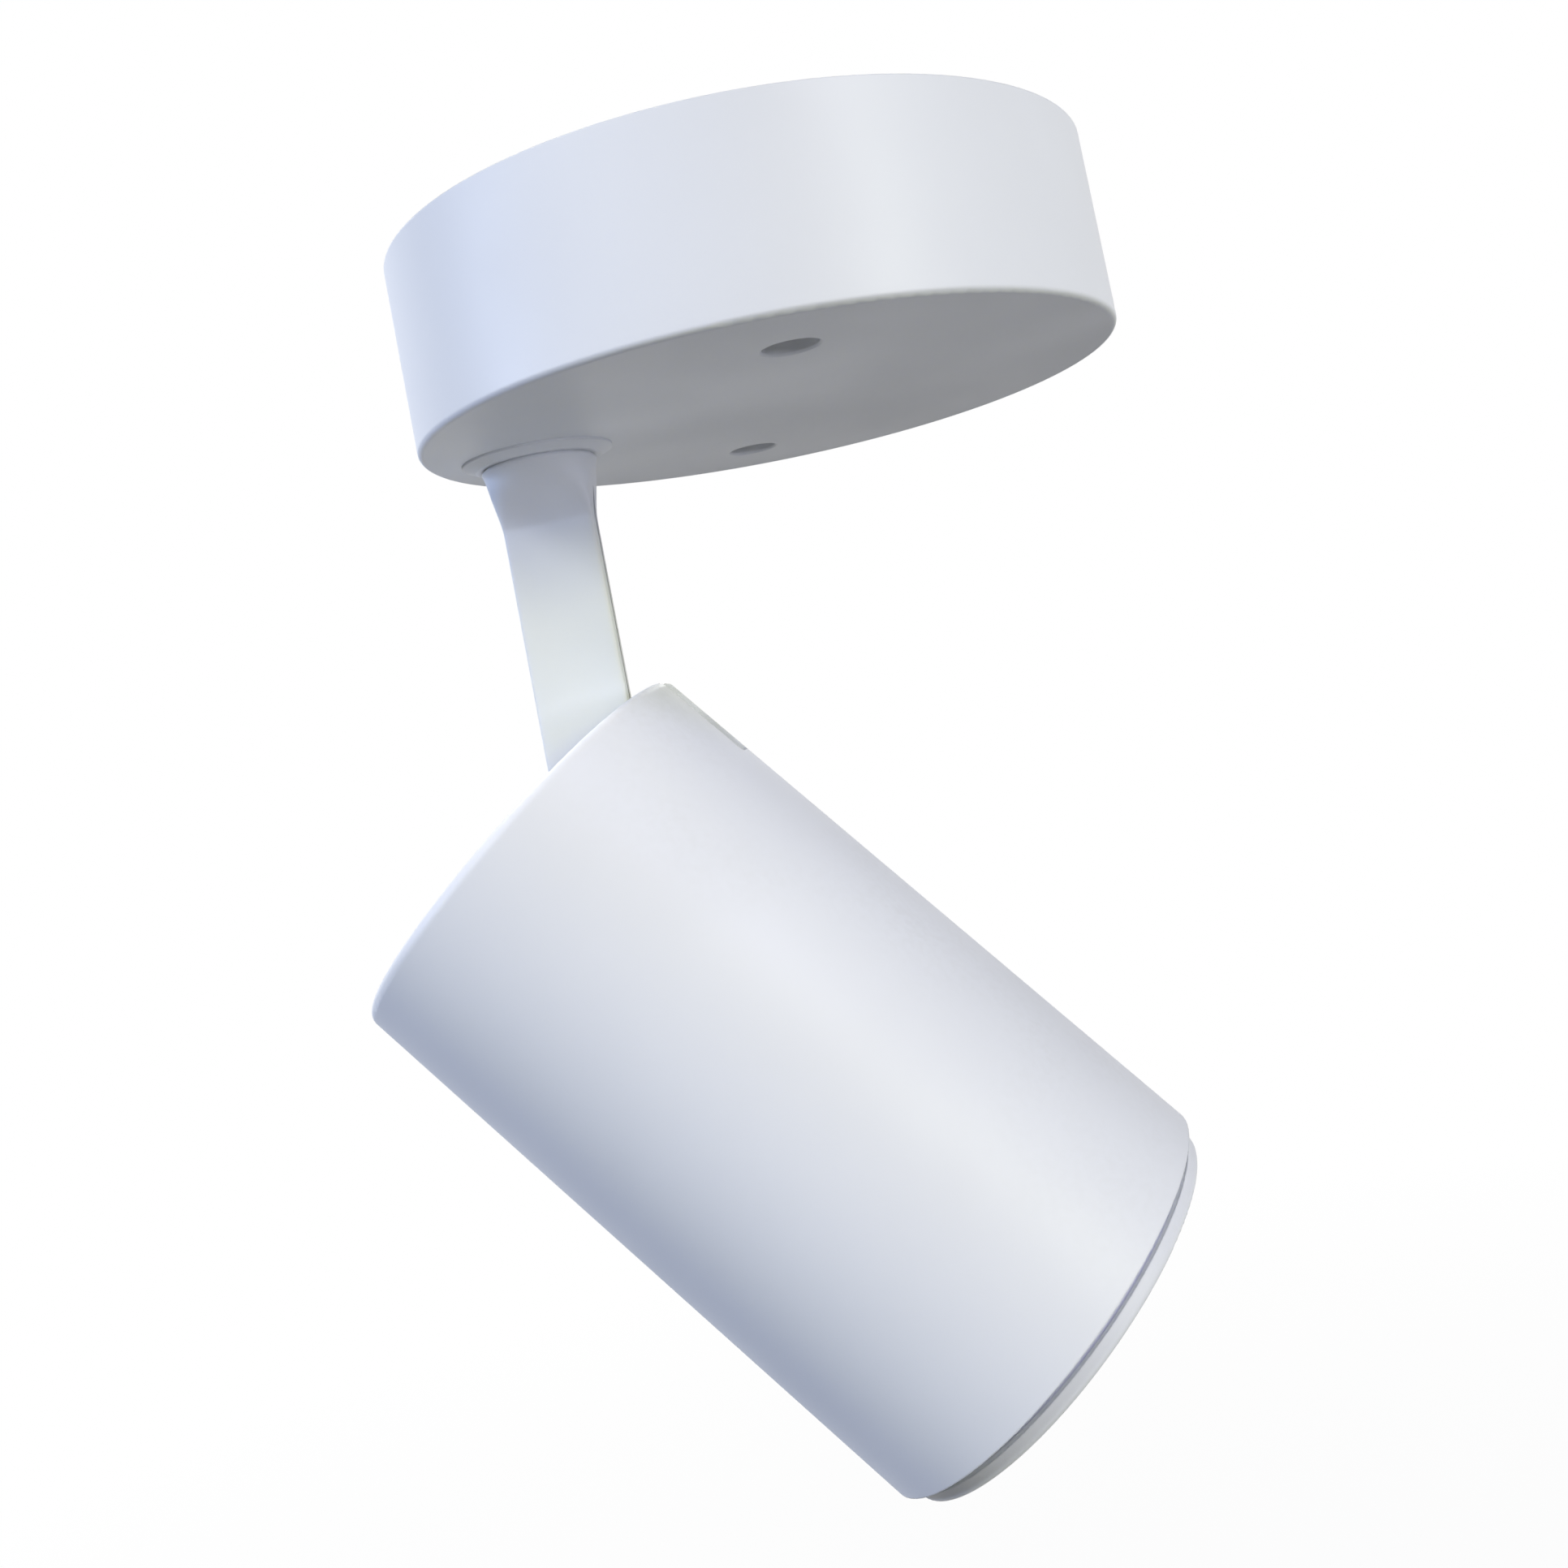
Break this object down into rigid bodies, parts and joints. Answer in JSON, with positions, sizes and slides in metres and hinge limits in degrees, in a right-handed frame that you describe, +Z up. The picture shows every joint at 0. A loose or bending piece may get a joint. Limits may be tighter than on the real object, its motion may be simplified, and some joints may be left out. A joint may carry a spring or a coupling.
{
  "type": "surface mounted ceiling spotlight",
  "caption": "White surface mounted spotlight: round ceiling canopy, offset swivelling arm and a tilting tubular head with a recessed lens.",
  "frame": {"origin": "centre of the canopy's top rim, in the ceiling plane, midway between the two slots for the ceiling screws", "axes": "+Z up into the ceiling, along the canopy's axis; -X from the canopy's axis to the swivelling arm; the head tilts in the XZ plane, its lens turned towards +X"},
  "size_m": [0.121, 0.1, 0.1764],
  "materials": {
    "white_paint": "satin",
    "zinc_steel": "satin",
    "bright_screw": "satin",
    "brass_part": "satin",
    "black_rubber": "matte",
    "foam_tape": "matte",
    "natural_nylon": "matte",
    "driver_plastic": "matte",
    "board_green": "gloss",
    "winding": "matte",
    "capacitor_sleeve": "gloss",
    "plug_white": "matte",
    "lead_jacket": "matte",
    "sink_aluminium": "satin",
    "thermal_grey": "matte",
    "light_board": "satin",
    "phosphor": "gloss",
    "holder_white": "matte",
    "polished_aluminium": "polished",
    "clear_glass": "polished",
    "silicone": "matte"
  },
  "bodies": {
    "base": {"canopy_shell": "white_paint", "ceiling_plate": "zinc_steel", "plate_nuts": "brass_part", "canopy_screws": "bright_screw", "cable_grommet": "black_rubber", "earth_washer": "brass_part", "earth_screw": "brass_part", "terminal_block": "natural_nylon", "terminal_screws": "bright_screw", "driver_pad": "foam_tape", "driver_case": "driver_plastic", "driver_lid": "driver_plastic", "driver_board": "board_green", "driver_plugs": "plug_white", "driver_transformer": "winding", "driver_capacitors": "capacitor_sleeve", "input_leads": "lead_jacket", "output_leads": "lead_jacket", "swivel_collar": "white_paint", "stop_pin": "bright_screw"},
    "arm": {"friction_ring": "natural_nylon", "stop_ring": "zinc_steel", "cone_washer": "bright_screw", "stem_nut": "zinc_steel", "swivel_arm": "white_paint", "arm_wire_cover": "white_paint", "arm_leads": "lead_jacket"},
    "head": {"head_shell": "white_paint", "tilt_bracket": "zinc_steel", "bracket_screws": "bright_screw", "pivot_screw": "bright_screw", "pivot_washer": "bright_screw", "friction_washer": "natural_nylon", "spring_washer": "bright_screw", "pivot_nut": "zinc_steel", "heat_sink": "sink_aluminium", "thermal_pad": "thermal_grey", "led_board": "light_board", "led_emitter": "phosphor", "board_screws": "bright_screw", "head_leads": "lead_jacket", "reflector_holder": "holder_white", "reflector": "polished_aluminium", "reflector_sleeve": "sink_aluminium", "lens": "clear_glass", "lens_gasket": "silicone", "front_ring": "white_paint", "ring_seal": "black_rubber"}
  },
  "joints": [
    {"name": "arm_swivel", "type": "hinge", "parent": "base", "child": "arm", "pos_m": [-0.0347, 0, -0.0276], "axis": [0, 0, 1], "range_deg": [-170, 170]},
    {"name": "head_tilt", "type": "hinge", "parent": "arm", "child": "head", "pos_m": [-0.0347, 0, -0.0825], "axis": [0, -1, 0], "range_deg": [-39.1, 50.9]}
  ]
}
